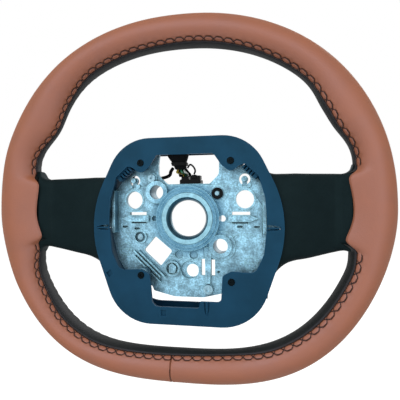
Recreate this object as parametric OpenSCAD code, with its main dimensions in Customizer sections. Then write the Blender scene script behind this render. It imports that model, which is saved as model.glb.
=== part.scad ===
// Two-spoke car steering wheel with a squared rim, its airbag left off.
// X runs to the right as the driver sees it, Y away from the driver and Z up.
// The origin is the middle of the column bore at the hub's rear face.

/* [Rim] */
// Overall width of the rim
rim_w = 360; // [340:1:380]
// Height of the top of the rim above its widest level
rim_rise = 173.5; // [165:0.5:180]
// Drop of the flattened bottom below the widest level
rim_drop = 154.5; // [149:0.5:163]
// Height of the widest level above the hub axis
rim_level = 10; // [7:0.5:13]
// Squareness of the top half
top_square = 2.17; // [2.1:0.01:2.35]
// Squareness at the start of the bottom half
side_square = 1.99; // [1.95:0.01:2.1]
// Squareness gained towards the bottom corners
bottom_square = 0.62; // [0.4:0.01:0.8]
// Width of the grip, seen from the front
grip_w = 28.5; // [27:0.5:31]
// Depth of the grip, front to back
grip_d = 34; // [32:0.5:38]
// Extra grip width at the thumb rests
thumb_swell = 8.5; // [4:0.5:11]
// Angle of the thumb rests above the widest level
thumb_angle = 31; // [28:1:36]
// Extra grip width where the spokes start
spoke_swell = 7; // [5:0.5:10]

/* [Leather] */
// Thickness of the leather
leather_t = 1.2; // [0.9:0.1:1.6]
// Angle of the sewn seams, from the inward side of the grip
seam_angle = 32; // [28:1:38]
// Extra angle of the seams where the grip swells into a spoke
seam_spread = 10; // [4:1:16]
// Angle at which the upper leather strip ends, above the widest level
strip_upper_end = 15; // [14:1:18]
// Angle at which the lower leather strip ends, below the widest level
strip_lower_end = 20; // [18:1:22]
// Glue line between the leather and the foam
glue = 0.1; // [0.05:0.05:0.2]

/* [Spokes] */
// Height of a spoke's top edge at the rim
spoke_top = 37.5; // [34:0.5:41]
// Height of a spoke's bottom edge at the rim
spoke_bottom = -25; // [-28:0.5:-20]
// Rise of the top edge from the rim to the hub
spoke_rise = 3.5; // [0:0.5:8]
// Drop of the bottom edge from the rim to the hub
spoke_fall = 13; // [4:0.5:16]
// Thickness of a spoke, front to back
spoke_d = 25; // [23:0.5:27]

/* [Stack along the column axis] */
// Middle of the rim, ahead of the hub's rear face
rim_ahead = 58; // [55:0.5:64]
// Front face of the shroud flange
flange_ahead = 47; // [45:0.5:50]
// Front face of the ring round the bore
boss_ahead = 38; // [36:0.5:40]
// Front face of the hub plate
plate_ahead = 31; // [29:0.5:33]
// Rear edge of the shroud skirt
skirt_rear = 8; // [4:0.5:12]

/* [Hub casting] */
// Thickness of the hub plate
plate_t = 4; // [3:0.25:5]
// Radius of the boss round the bore
boss_r = 31; // [29.5:0.5:32.5]
// Radius of the barrel behind the plate
barrel_r = 28; // [26.5:0.5:29]
// Height of the raised pad round the boss
pad_h = 1; // [0.5:0.1:1.5]
// Height of the ribs on the plate
rib_h = 3; // [2:0.25:4]
// Radius of the two large side holes
side_hole_r = 8.6; // [7.5:0.1:9.5]
// Radius of the bore at the upper left
upper_bore_r = 6.9; // [6:0.1:7.5]
// Radius of the bore at the lower right
lower_bore_r = 7; // [6:0.1:7.5]
// Depth of the two small bores
peg_bore_l = 22; // [18:0.5:24]
// Thickness of the channel and arm walls
core_t = 3; // [2.5:0.25:3.5]
// Width of the channel in the rim
core_w = 14; // [12:0.5:15]
// Depth of the channel in the rim
core_d = 12; // [10:0.5:13]
// Height of an arm in its spoke
arm_h = 32; // [26:0.5:36]
// Thickness of an arm
arm_t = 5; // [4:0.25:6]

/* [Column bush] */
// Radius of the column bore
bore_r = 17.5; // [16:0.1:18.5]
// Length of the column bore
bore_l = 22; // [18:0.5:26]
// Radius of the counterbore at the front
mouth_r = 21.2; // [20:0.1:22]
// Outer radius of the bush
bush_r = 25; // [24:0.1:25.5]

/* [Shroud] */
// Half width of the flange at the hub axis
flange_half_w = 90.5; // [88:0.5:94]
// Top edge of the flange above the hub axis
flange_top = 76.5; // [74:0.5:79]
// Bottom edge of the flange below the hub axis
flange_drop = 99; // [96:0.5:102]
// Thickness of the flange
flange_t = 3; // [2.5:0.25:3.5]
// Width of the flange lip outside the skirt
lip_w = 4; // [3:0.25:5]
// Thickness of the skirt wall
skirt_t = 2.5; // [2:0.25:3]
// Clearance between the skirt and the parts that pass or meet it
skirt_gap = 0.4; // [0.3:0.05:0.8]

/* [Fasteners and fittings] */
// Radius of a shroud screw's shank
screw_r = 1.9; // [1.5:0.1:2.2]
// Radius of a shroud screw's head
screw_head_r = 3.1; // [2.8:0.1:3.4]
// Distance of the shroud screws from the middle
screw_x = 43; // [42:0.5:44]
// Height of the upper shroud screws
screw_up = 53; // [52:0.5:55]
// Mean drop of the two lower shroud screws
screw_down = 55.5; // [55:0.5:57]
// How far the lower screws lie above and below that, left and right
screw_stagger = 2; // [1:0.5:2.5]
// Outer radius of the rubber ring
ring_r = 5.4; // [4.8:0.1:6]
// Radius of the contact pin in the rubber ring
pin_r = 2; // [1.6:0.1:2.4]

/* [Wiring] */
// Width of the wiring sleeve where it leaves the flange
sleeve_w = 22; // [18:0.5:24]
// Width of the sleeve at its neck
neck_w = 12; // [10:0.5:14]
// Width of the connector housing
plug_w = 21; // [18:0.5:23]
// Radius of a single wire
wire_r = 0.9; // [0.7:0.1:1.1]

/* [Hidden] */
$fn = 72;
rim_steps = 72;
flange_back = flange_ahead - flange_t;
plate_back = plate_ahead - plate_t;
pad_ahead = plate_ahead + pad_h;
spoke_mid_h = (spoke_top + spoke_bottom) / 2;
spoke_hub_ahead = flange_back - skirt_gap - spoke_d / 2;
grip_inner_x = rim_w / 2 - grip_w - spoke_swell;
arm_mid_h = spoke_mid_h + 0.5;
side_hole_at = [54.6, 17.9];
hook_at = [54.4, 36.9];
foot_hole_at = [0.8, -49.7];
foot_hole_r = 8.8;
recess_d = 2.4;
upper_bore_at = [-30.8, 25.4];
lower_bore_at = [31.6, -26.2];
ring_at = [28.8, 23.7];
stud_at = [-36.5, 39.2];
locator_at = [-48.8, -18.4];
earth_screw_at = [19.4, -67.8];
screw_at = [[-screw_x, screw_up], [screw_x, screw_up],
  [-screw_x, screw_stagger - screw_down], [screw_x, -screw_stagger - screw_down]];

// Helpers

function fold(a) = asin(sin(a));
function unit(v) = v / norm(v);
function clamp(u) = max(0, min(1, u));
function ease(u) = let(c = clamp(u)) c * c * (3 - 2 * c);
function steps(from, to, n) = [for (i = [0 : n]) from + (to - from) * i / n];
function flipped(points) = [for (i = [len(points) - 1 : -1 : 0])
  [-points[i][0], points[i][1], points[i][2]]];
function turn(d) = d > 180 ? d - 360 : (d < -180 ? d + 360 : d);
// Quarter-round rise, for a fillet that starts flat and ends steep
function fillet(u) = let(c = clamp(u)) 1 - sqrt(1 - c * c);

// Arc that rounds the corner b between a and c
function corner(a, b, c, r, n) =
  let(u = unit(a - b), v = unit(c - b), half = acos(max(-1, min(1, u * v))) / 2)
  let(reach = min(r / tan(half), 0.48 * min(norm(a - b), norm(c - b))), rr = reach * tan(half))
  let(mid = b + unit(u + v) * rr / sin(half), p = b + u * reach - mid, q = b + v * reach - mid)
  let(from = atan2(p[1], p[0]), sweep = turn(atan2(q[1], q[0]) - from))
  [for (i = [0 : n]) mid + rr * [cos(from + sweep * i / n), sin(from + sweep * i / n)]];

// Closed outline through corners [x, z, radius]
function rounded(corners, n = 5) =
  let(k = len(corners), at = [for (c = corners) [c[0], c[1]]])
  [for (i = [0 : k - 1]) each corner(at[(i + k - 1) % k], at[i], at[(i + 1) % k], corners[i][2], n)];

// Corners of a convex outline that runs clockwise, moved outward by d
function grown(corners, d) =
  let(k = len(corners), at = [for (c = corners) [c[0], c[1]]])
  [for (i = [0 : k - 1])
    let(u = unit(at[i] - at[(i + k - 1) % k]), v = unit(at[(i + 1) % k] - at[i]))
    let(nu = [-u[1], u[0]], nv = [-v[1], v[0]], m = unit(nu + nv), p = at[i] + m * d / (m * nu))
    [p[0], p[1], max(0.5, corners[i][2] + d)]];

// Extrudes an outline drawn in X and Z, from one distance ahead of the rear face to another
module slab(from, to) {
  translate([0, -from, 0]) rotate([90, 0, 0]) linear_extrude(to - from) children();
}

// Cylinder along the column axis
module post(at, r, from, to) {
  translate([at[0], -from, at[1]]) rotate([90, 0, 0]) cylinder(r = r, h = to - from);
}

// Solid skinned over rings of points; the first and last rings are closed flat
module loft(rings) {
  n = len(rings);
  m = len(rings[0]);
  sides = [for (i = [0 : n - 2], j = [0 : m - 1]) let(k = (j + 1) % m)
    each [[i * m + j, (i + 1) * m + k, i * m + k], [i * m + j, (i + 1) * m + j, (i + 1) * m + k]]];
  ends = [[for (j = [0 : m - 1]) j], [for (j = [m - 1 : -1 : 0]) (n - 1) * m + j]];
  polyhedron(points = [for (r = rings) each r], faces = concat(sides, ends));
}

// Solid skinned over rings of points that run round and meet
module hoop(rings) {
  n = len(rings);
  m = len(rings[0]);
  sides = [for (i = [0 : n - 1], j = [0 : m - 1]) let(k = (j + 1) % m, q = (i + 1) % n)
    each [[i * m + j, q * m + k, i * m + k], [i * m + j, q * m + j, q * m + k]]];
  polyhedron(points = [for (r = rings) each r], faces = sides);
}

// Round wire of radius r along a path
module wire(path, r, sides = 8) {
  n = len(path);
  loft([for (i = [0 : n - 1])
    let(d = unit(path[min(i + 1, n - 1)] - path[max(i - 1, 0)]))
    let(u = unit(cross(d, [0.31, 0.2, 0.93])), v = cross(d, u))
    [for (j = [0 : sides - 1]) path[i] + r * (u * cos(360 * j / sides) + v * sin(360 * j / sides))]]);
}

// Smooth path through a few points
function smooth_path(p, n = 4) =
  let(k = len(p))
  [for (i = [0 : k - 2], s = [0 : n - 1])
    let(a = p[max(i - 1, 0)], b = p[i], c = p[i + 1], d = p[min(i + 2, k - 1)], t = s / n)
    0.5 * (2 * b + (c - a) * t + (2 * a - 5 * b + 4 * c - d) * t * t + (3 * b - a - 3 * c + d) * t * t * t),
   p[k - 1]];

// Rim

// Distance of the rim's outline from the middle of its widest level
function rim_radius(a) =
  let(up = sin(a) >= 0, n = up ? top_square : side_square + bottom_square * pow(sin(a), 2))
  pow(pow(abs(cos(a)) * 2 / rim_w, n) + pow(abs(sin(a)) / (up ? rim_rise : rim_drop), n), -1 / n);
function rim_edge(a) = [rim_radius(a) * cos(a), rim_level + rim_radius(a) * sin(a)];
function rim_inward(a) = let(d = unit(rim_edge(a + 0.5) - rim_edge(a - 0.5))) [-d[1], d[0]];

// Share of the spoke swell at station a, from 0 on the free rim to 1 beside a spoke
function spoke_zone(a) = exp(-pow((fold(a) + 3) / 16, 4));
function thumb_zone(a) = exp(-pow((fold(a) - thumb_angle) / 9, 2));
function grip_width(a) = grip_w + thumb_swell * thumb_zone(a) + spoke_swell * spoke_zone(a);

// Point of the grip at station a and section angle t, skin deep under the leather
function grip_point(a, t, skin) =
  let(half = grip_width(a) / 2, in = rim_inward(a), p = rim_edge(a) + in * (half + (half - skin) * cos(t)))
  [p[0], -rim_ahead - (grip_d / 2 - skin) * sin(t), p[1]];

// Section angles of the black and the brown leather, a degree back from the seams
function seam_at(a) = seam_angle + seam_spread * spoke_zone(a);
function inner_angles(a) = steps(1 - seam_at(a), seam_at(a) - 1, 6);
function outer_angles(a) = steps(seam_at(a) + 1, 359 - seam_at(a), 15);

// Closed section of a leather that covers the given angles at station a
function skin_ring(a, angles) = concat([for (t = angles) grip_point(a, t, 0)],
  [for (i = [len(angles) - 1 : -1 : 0]) grip_point(a, angles[i], leather_t - glue)]);

rim_stations = [for (i = [0 : rim_steps - 1]) i * 360 / rim_steps];
function rim_ring(inset) = [for (a = rim_stations) rim_edge(a) + inset * rim_inward(a)];

module rim_band(inset, width) {
  difference() {
    polygon(rim_ring(inset));
    polygon(rim_ring(inset + width));
  }
}

// Armature

core_inset = (grip_w - core_w) / 2;
core_rear = rim_ahead - core_d / 2;
core_front = rim_ahead + core_d / 2;
arm_bend_x = flange_half_w - 6;
arm_end_x = rim_w / 2 - core_inset - core_w + core_t / 2;
arm_line = [[66, plate_ahead - arm_t / 2], [arm_bend_x, plate_ahead - arm_t / 2 + 1],
  [grip_inner_x + 2, rim_ahead], [arm_end_x, rim_ahead]];

module arm_profile(behind, ahead) {
  polygon(concat([for (p = arm_line) [p[0], -p[1] + behind]],
    [for (i = [len(arm_line) - 1 : -1 : 0]) [arm_line[i][0], -arm_line[i][1] - ahead]]));
}

module arm() {
  translate([0, 0, arm_mid_h - arm_h / 2]) linear_extrude(arm_h) arm_profile(arm_t / 2, arm_t / 2);
  for (s = [-1, 1]) {
    translate([0, 0, arm_mid_h + s * (arm_h / 2 - core_t) - core_t / 2])
      linear_extrude(core_t) arm_profile(arm_t / 2 + 4, 0);
  }
}

// The parts of the casting that the foam is moulded round
module rim_core() {
  slab(core_front - core_t, core_front) rim_band(core_inset, core_w);
  slab(core_rear, core_front - core_t) rim_band(core_inset, core_t);
  slab(core_rear, core_front - core_t) rim_band(core_inset + core_w - core_t, core_t);
  arm();
  mirror([1, 0, 0]) arm();
}

window_half = [[21, 33.2, 2], [30, 42, 7], [30.2, 53, 8], [28.4, 66, 1]];
plate_side = [[51, 66, 6], [53.4, 47.4, 3], [64, 41.4, 4], [71.5, 30, 4], [77, 26, 2],
  [78.4, -1, 30], [77, -20, 10], [72.6, -39, 10], [64, -53, 6], [51.6, -53, 2], [51.6, -65, 6],
  [37, -66, 3], [35, -71, 2]];
plate_foot = [[14.4, -76, 20], [-14.4, -76, 20]];
plate_corners = concat(window_half, plate_side, plate_foot, flipped(plate_side), flipped(window_half));

pad_corners = [[-58, 29.5, 4], [-38, 31.6, 4], [0, 32, 4], [38, 31.6, 4], [58, 29.5, 4],
  [71, 11, 6], [70, -20.5, 3], [60.6, -15.4, 3], [44.5, -15.4, 4], [36, -36, 8], [6, -40, 6],
  [-22, -36, 6], [-43, -14, 4], [-68, -14, 4], [-71, 11, 6]];

// Arms of the horseshoe slots that hold the airbag hooks
module hook_slot() {
  difference() {
    circle(r = 5.4);
    circle(r = 3.1);
    translate([-2.2, -7]) square([4.4, 6]);
  }
}

// Holes that go right through the plate
module plate_holes() {
  for (s = [-1, 1]) {
    translate([s * side_hole_at[0], side_hole_at[1]]) circle(r = side_hole_r);
    translate([s * hook_at[0], hook_at[1]]) hook_slot();
    translate([s * 50.8 - 8.6, 3.1]) square([17.2, 3]);
  }
  translate([33.4, -0.3]) circle(r = 3);
  polygon(rounded([[-33.3, -17.4, 2], [-16, -31.7, 2], [-28.5, -47.2, 2], [-45.8, -31.7, 2]]));
  translate(foot_hole_at + [2.6, -1]) circle(r = foot_hole_r - 2.6);
  translate([12.4, -55]) square([3.6, 16]);
  translate([22, -55]) square([3.6, 15.4]);
}

// Blind recesses in the front of the plate
module plate_recesses() {
  for (s = [-1, 1]) {
    translate([s * 50 - 7.8, -5.2]) square([15.6, 1.8]);
  }
  translate([-34.2, -0.3]) circle(r = 2.6);
  translate(foot_hole_at) circle(r = foot_hole_r);
  translate([29, -51.3]) circle(r = 1.4);
  for (at = [[-64.5, -8.4], [-52, -10.2], [49.7, -8], [65.7, -8.2]]) {
    translate([at[0] - 1.6, at[1]]) circle(r = 1.2);
    translate([at[0] - 1.6, at[1] - 1.2]) square([3.2, 2.4]);
    translate([at[0] + 1.6, at[1]]) circle(r = 1.2);
  }
}

// Tapered rib that points away from the hub, long along +X
module arrow_rib(length, width) {
  polygon([[0, -width / 2], [length - 7, -width / 2], [length, 0], [length - 7, width / 2], [0, width / 2]]);
}

module date_mark(at) {
  slab(plate_ahead, plate_ahead + 0.5) translate(at) {
    difference() {
      circle(r = 6.5);
      circle(r = 5.7);
    }
    translate([-5.8, -0.4]) square([11.6, 0.8]);
  }
}

module plate_relief() {
  slab(plate_ahead, pad_ahead) polygon(rounded(pad_corners));
  slab(pad_ahead, pad_ahead + rib_h) {
    for (side = [0, 1]) {
      mirror([side, 0]) translate([39.2, -0.3]) arrow_rib(27.5, 5.8);
    }
  }
  slab(plate_ahead, plate_ahead + rib_h) {
    polygon([[16, -28], [23, -28], [21.2, -62], [17, -62]]);
    for (i = [-1 : 1]) {
      translate([-55, -32]) rotate(-43) translate([i == 0 ? 0 : 4, i * 3.4 - 0.7]) square([37, 1.4]);
    }
    difference() {
      translate([-16, -48.6]) circle(r = 7.6);
      translate([-16, -48.6]) circle(r = 5.8);
    }
    translate([-16, -48.6]) polygon(rounded([[-3, -4, 1], [-3, 3, 1], [0, 5, 1], [4, 2, 1], [3, -5, 1]]));
  }
  for (s = [-1, 1]) {
    post([s * side_hole_at[0], side_hole_at[1]], side_hole_r + 1.6, plate_ahead, pad_ahead + 0.6);
    post([s * hook_at[0], hook_at[1]], 2.2, plate_ahead, plate_ahead + 4.5);
    for (side = [-4, 4]) {
      post([s * hook_at[0] + side, hook_at[1] - 5.7], 2, plate_ahead, plate_ahead + 2);
    }
  }
  date_mark([-64, -30.6]);
  date_mark([60, -42.4]);
}

side_wall_x = 73;
side_wall_h = flange_back - 3;

module plate_walls() {
  // Upstands beside the airbag and a stiffening rim behind the plate
  for (s = [-1, 1]) {
    slab(plate_ahead - 1, side_wall_h) translate([s * side_wall_x - 1.5, -13.5]) square([3, 40.5]);
  }
  slab(plate_back - 7, plate_back + 1) {
    difference() {
      polygon(rounded(plate_corners));
      shrunk_plate(3);
      translate([-45, -10]) square([90, 90]);
    }
  }
}

// The plate's outline pulled in by d at its sides and foot
module shrunk_plate(d) {
  polygon(rounded([for (c = plate_corners)
    [c[0] - sign(c[0]) * min(d, abs(c[0])), c[1] + (c[1] < -45 ? d : 0), c[2]]]));
}

module armature() {
  color("lightsteelblue") difference() {
    union() {
      rim_core();
      slab(plate_back, plate_ahead) polygon(rounded(plate_corners));
      plate_relief();
      plate_walls();
      post([0, 0], boss_r, plate_back, boss_ahead - 1.5);
      post([0, 0], barrel_r, 0, boss_ahead);
      post(upper_bore_at, upper_bore_r + 4, plate_ahead + 5 - peg_bore_l, plate_ahead + 5);
      post(lower_bore_at, lower_bore_r + 7, plate_back, plate_ahead + 2);
      post(lower_bore_at, lower_bore_r + 3.8, plate_ahead + 5 - peg_bore_l, plate_ahead + 5);
      post(ring_at, ring_r + 2, plate_ahead, pad_ahead + 0.5);
      post(stud_at, 5.4, plate_ahead, plate_ahead + 1.5);
      post(locator_at, 6.8, plate_back, plate_ahead + 1.5);
      post(earth_screw_at, 5.2, plate_back - 4, plate_ahead + 1);
      for (at = screw_at) {
        post(at, 6, plate_back - 2, flange_back);
      }
    }
    slab(plate_back - 10, plate_ahead + 10) plate_holes();
    slab(plate_ahead - recess_d, plate_ahead + 10) plate_recesses();
    post([0, 0], bush_r, -1, boss_ahead + 1);
    post(upper_bore_at, upper_bore_r, 0, boss_ahead + 10);
    post(lower_bore_at, lower_bore_r, 0, boss_ahead + 10);
    post(stud_at, 1.5, plate_back - 1, plate_ahead + 10);
    post(ring_at, pin_r, plate_back - 1, plate_ahead + 10);
    post(locator_at, 5.2, plate_ahead - 2, plate_ahead + 10);
    post(locator_at, 2.8, plate_back - 1, plate_ahead);
    post(earth_screw_at, 2, plate_back - 5, plate_ahead + 10);
    for (at = screw_at) {
      post(at, screw_r, plate_back + 2, flange_back + 1);
    }
    // Shallow pockets below the boss
    for (x = [-9.4, 5.1]) {
      post([x, -35.2], 4.2, plate_ahead - 1, plate_ahead + 1.01 * pad_h);
    }
  }
}

module hub_bush() {
  color("silver") difference() {
    post([0, 0], bush_r, 0, boss_ahead + 0.4);
    post([0, 0], bore_r, -1, boss_ahead + 1);
    post([0, 0], mouth_r, bore_l, boss_ahead + 1);
    translate([0, -boss_ahead - 0.5, 0]) rotate([-90, 0, 0])
      cylinder(r1 = mouth_r + 1.6, r2 = mouth_r, h = 1.6);
  }
}

// Foam and leather

spoke_stations = [grip_inner_x + 14, grip_inner_x + 8, grip_inner_x + 4, grip_inner_x + 1, grip_inner_x - 2,
  grip_inner_x - 6, 130, 121, 112, 104, 98, 93, 88, 83, 78, 73, 69];

function spoke_lift(x) = spoke_top + spoke_rise * clamp((grip_inner_x - x) / 45)
  + 8 * fillet((x - grip_inner_x + 6) / 8.2) + 8 * fillet((84 - x) / 12);
function spoke_sink(x) = spoke_bottom - spoke_fall * ease((grip_inner_x - x) / 50)
  - 6 * fillet((x - grip_inner_x + 4) / 6.2) - 36 * fillet((104 - x) / 29);
function spoke_ahead(x) = rim_ahead - (rim_ahead - spoke_hub_ahead) * ease((grip_inner_x + 4 - x) / 56);

// Half the thickness of a spoke, a little less where it runs under the leather
function spoke_half(x) = spoke_d / 2 - 2.1 * ease((x - grip_inner_x + 2) / 6);

// Point on a rounded-square section
function soft_square(t) = [sign(cos(t)) * pow(abs(cos(t)), 0.5), sign(sin(t)) * pow(abs(sin(t)), 0.5)];

module spoke() {
  loft([for (x = spoke_stations)
    let(mid = (spoke_lift(x) + spoke_sink(x)) / 2, half = (spoke_lift(x) - spoke_sink(x)) / 2)
    [for (j = [0 : 23]) let(q = soft_square(-7.5 - 15 * j))
      [x, -spoke_ahead(x) + q[0] * spoke_half(x), mid + q[1] * half]]]);
}

module foam_body() {
  color("dimgray") difference() {
    union() {
      hoop([for (a = rim_stations)
        [for (t = concat(inner_angles(a), outer_angles(a))) grip_point(a, t, leather_t)]]);
      difference() {
        union() {
          spoke();
          mirror([1, 0, 0]) spoke();
        }
        slab(0, flange_ahead) polygon(rounded(grown(flange_corners, skirt_gap - lip_w), 10));
      }
    }
    rim_core();
  }
}

module outer_leather() {
  color("sienna") hoop([for (a = rim_stations) skin_ring(a, outer_angles(a))]);
}

// Black strip on the inward side of the grip, between two stations
module inner_strip(from, to, parts) {
  color("black") loft([for (a = steps(from, to, parts)) skin_ring(a, inner_angles(a))]);
}

module inner_leather_upper() {
  inner_strip(strip_upper_end, 180 - strip_upper_end, 30);
}

module inner_leather_lower() {
  inner_strip(180 + strip_lower_end, 360 - strip_lower_end, 28);
}

// Shroud

flange_side = [[61, flange_top, 42], [flange_half_w + 8, -2, 98], [64.5, -flange_drop, 44]];
flange_corners = concat(flange_side, flipped(flange_side));
groove_d = 2;
pocket_w = 5.6;
rear_lip_w = 9;
opening_upper = [[27, 60.3, 2], [35, 48.8, 5], [screw_x, 42.6, 6], [51, 48.8, 5], [56, 50.2, 2],
  [68, 39.4, 5], [74, 18.5, 12], [75.4, -4.5, 20], [72.6, -32, 12], [64.5, -49, 7],
  [screw_x, -48, 6], [34.8, -52, 4]];
opening_foot = [[33.4, -76.4, 4], [13.9, -76.4, 1], [13.2, -82.6, 3], [-31.8, -82.6, 7]];
opening_corners = concat(opening_upper, opening_foot, flipped(opening_upper));

// Pair of tapered grooves, long along +X
module spear_grooves() {
  for (s = [-1, 1]) {
    polygon([[0, s * 0.8], [0, s * 3], [7, s * 2.4], [13.5, s * 0.4], [7, s * 0.8]]);
  }
}

// Guide behind an upper corner of the opening, whose ribs show through the gap beside the plate
guide_from = [opening_upper[4][0], opening_upper[4][1]];
guide_to = [opening_upper[5][0], opening_upper[5][1]];
guide_l = norm(guide_to - guide_from);
guide_lean = atan2(guide_to[1] - guide_from[1], guide_to[0] - guide_from[0]);
guide_reach = 4.5;
guide_back = plate_ahead + 4;
rib_pitch = 3.2;

module along_guide() {
  translate(guide_from) rotate(guide_lean) translate([0, -guide_reach]) children();
}

module corner_guide() {
  slab(guide_back, flange_back) along_guide() square([guide_l, guide_reach + 3]);
}

module corner_guide_cuts() {
  slab(guide_back + 2, flange_back + 1) along_guide() {
    for (x = [1.6 : rib_pitch : guide_l - 4]) {
      translate([x, -1]) square([rib_pitch / 2, guide_reach + 0.5]);
    }
  }
}

module hub_shroud() {
  color("darkslategray") difference() {
    union() {
      slab(flange_back, flange_ahead) difference() {
        polygon(rounded(flange_corners, 10));
        polygon(rounded(opening_corners));
      }
      difference() {
        slab(skirt_rear, flange_back + 1) polygon(rounded(grown(flange_corners, -lip_w), 10));
        slab(skirt_rear + 2, flange_back + 2) polygon(rounded(grown(flange_corners, -lip_w - skirt_t), 10));
        slab(skirt_rear - 1, skirt_rear + 3) polygon(rounded(grown(flange_corners, -lip_w - rear_lip_w), 10));
      }
      corner_guide();
      mirror([1, 0, 0]) corner_guide();
    }
    // Windows for the arms
    for (s = [-1, 1]) {
      translate([s * (flange_half_w - 7) - 9, -flange_back - 1, arm_mid_h - arm_h / 2 - 1])
        cube([18, flange_back - plate_back + 12, arm_h + 2]);
    }
    for (at = screw_at) {
      post(at, screw_r + 0.5, flange_back - 1, flange_ahead + 1);
      post(at, screw_head_r + 0.4, flange_ahead - 1.2, flange_ahead + 1);
    }
    slab(flange_ahead - groove_d, flange_ahead + 1) {
      translate([75.6, -8.4]) spear_grooves();
      translate([-75.6, -8.4]) mirror([1, 0]) spear_grooves();
      translate([20.2, -76.6]) rotate(-90) spear_grooves();
      translate([-74.5, -52.5]) rotate(36) square(pocket_w, center = true);
      translate([-21, -88]) square(pocket_w, center = true);
    }
    corner_guide_cuts();
    mirror([1, 0, 0]) corner_guide_cuts();
  }
}

module shroud_screws() {
  color("gray") for (at = screw_at) {
    difference() {
      union() {
        post(at, screw_r, plate_back + 3, flange_ahead - 1.2);
        post(at, screw_head_r, flange_ahead - 1.2, flange_ahead + 0.8);
      }
      slab(flange_ahead - 0.2, flange_ahead + 1) translate(at) rotate(20) {
        square([0.8, 3.4], center = true);
        square([3.4, 0.8], center = true);
      }
    }
  }
}

// Fittings on the casting

module rubber_ring() {
  color("black") difference() {
    post(ring_at, ring_r, pad_ahead + 0.5, pad_ahead + 4);
    post(ring_at, pin_r + 0.8, pad_ahead, pad_ahead + 5);
  }
}

module contact_pin() {
  color("silver") {
    post(ring_at, pin_r, plate_back - 2, pad_ahead + 4.5);
    post(ring_at, pin_r - 0.6, pad_ahead + 4.5, pad_ahead + 5.2);
  }
}

module earth_stud() {
  color("silver") difference() {
    union() {
      post(stud_at, 3.9, plate_ahead + 1.5, plate_ahead + 3.2);
      post(stud_at, 1.5, plate_back, plate_ahead + 1.5);
    }
    post(stud_at, 0.9, plate_ahead + 1, plate_ahead + 4);
  }
}

module locating_pin() {
  color("silver") {
    post(locator_at, 2.8, plate_back - 3, plate_ahead + 0.6);
    post(locator_at, 2.1, plate_ahead + 0.6, plate_ahead + 1.4);
  }
}

module earth_screw() {
  color("silver") difference() {
    union() {
      post(earth_screw_at, 2, plate_back - 3, plate_ahead + 1);
      post(earth_screw_at, 4.5, plate_ahead + 1, plate_ahead + 3.4);
    }
    slab(plate_ahead + 2.2, plate_ahead + 4) translate(earth_screw_at) circle(r = 2.2, $fn = 6);
  }
}

// Wiring

sleeve_back = flange_back - 0.3;
housing_ahead = plate_back - 0.3;

// Flattened ring of the sleeve at height z
function sleeve_ring(mid, ahead, z, w, d) = [for (j = [0 : 15]) let(q = soft_square(-11.25 - 22.5 * j))
  [mid + q[0] * w / 2, -ahead + q[1] * d / 2, z]];

module harness_sleeve() {
  color("black") {
    loft([sleeve_ring(-8.4, sleeve_back - 5, 69.5, sleeve_w, 10),
      sleeve_ring(-8.4, sleeve_back - 5, 62, sleeve_w, 10),
      sleeve_ring(-8, sleeve_back - 6.5, 57, (sleeve_w + neck_w) / 2 + 0.5, 10),
      sleeve_ring(-7.4, sleeve_back - 9, 52, neck_w, 9),
      sleeve_ring(-7, sleeve_back - 12, 47.5, neck_w - 1, 8)]);
    // Taped bundle that runs on behind the single wires to the connector
    loft([sleeve_ring(-7, sleeve_back - 14.2, 48.5, neck_w - 1.6, 3),
      sleeve_ring(-7, housing_ahead - 3.5, 46, neck_w, 4.4),
      sleeve_ring(-6.6, housing_ahead - 9.4, 44, neck_w + 1, 4.2),
      sleeve_ring(-6, housing_ahead - 9.9, 41.1, neck_w + 0.6, 4)]);
  }
}

module harness_tie() {
  color("dimgray") difference() {
    loft([sleeve_ring(-7.5, sleeve_back - 8.6, 53.4, neck_w + 4, 12.5),
      sleeve_ring(-7.35, sleeve_back - 9.6, 50.6, neck_w + 3, 12)]);
    loft([sleeve_ring(-7.5, sleeve_back - 8.3, 53.6, neck_w + 2, 10.4),
      sleeve_ring(-7.3, sleeve_back - 9.9, 50.4, neck_w + 0.6, 9.6)]);
  }
}

module connector_housing() {
  color("black") {
    slab(housing_ahead - 12, housing_ahead) polygon(rounded([[-9.6, 28, 1], [-9.6, 38, 1.5],
      [-9.6 + plug_w, 38, 1.5], [-9.6 + plug_w, 28, 1]]));
    slab(housing_ahead - 9, housing_ahead - 2) translate([-8.4, 37]) square([7, 4]);
  }
}

module connector_plug() {
  color("black") {
    slab(housing_ahead - 10, housing_ahead - 1) translate([0.4, 38.1]) square([plug_w - 10.8, 3.6]);
    slab(housing_ahead - 7, housing_ahead + 0.2) translate([2.6, 39]) square([4, 3.4]);
  }
}

neck_end = [-7, -sleeve_back + 12, 46.6];
module pigtail(from_x, bow, to_x, lean) {
  wire(smooth_path([neck_end + [from_x, 0, 0], neck_end + [from_x + bow, -2.4 + lean, -2.4],
    [to_x, -housing_ahead + 5.5 + lean / 2, 43.6], [to_x, -housing_ahead + 5.5, 41.7]]), wire_r);
}

module wire_yellow() {
  color("gold") pigtail(-2.8, -0.6, -7.2, 0);
}

module wire_green() {
  color("green") pigtail(0.2, 1.6, -4.9, -1);
}

module wire_white() {
  color("white") pigtail(3, 1.6, -2.6, 0.6);
}

module wire_loop() {
  color("black") wire(smooth_path([[0, -sleeve_back + 10.5, 48.4],
    [2.6, -sleeve_back + 9.5, 51.6], [5.6, -sleeve_back + 10.5, 49.6],
    [6.9, -sleeve_back + 13, 46], [4.6, -housing_ahead + 2.6, 43.5]]), wire_r);
}

module harness_branch() {
  color("black") wire(smooth_path([[-14.5, -sleeve_back + 10, 48.4],
    [-17.4, -sleeve_back + 12.6, 45.4], [-20.4, -housing_ahead + 2.8, 42.6],
    [-25, -housing_ahead + 2.4, 40.4], [-33, -housing_ahead + 2, 39.2]]), 1.7);
}

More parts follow.
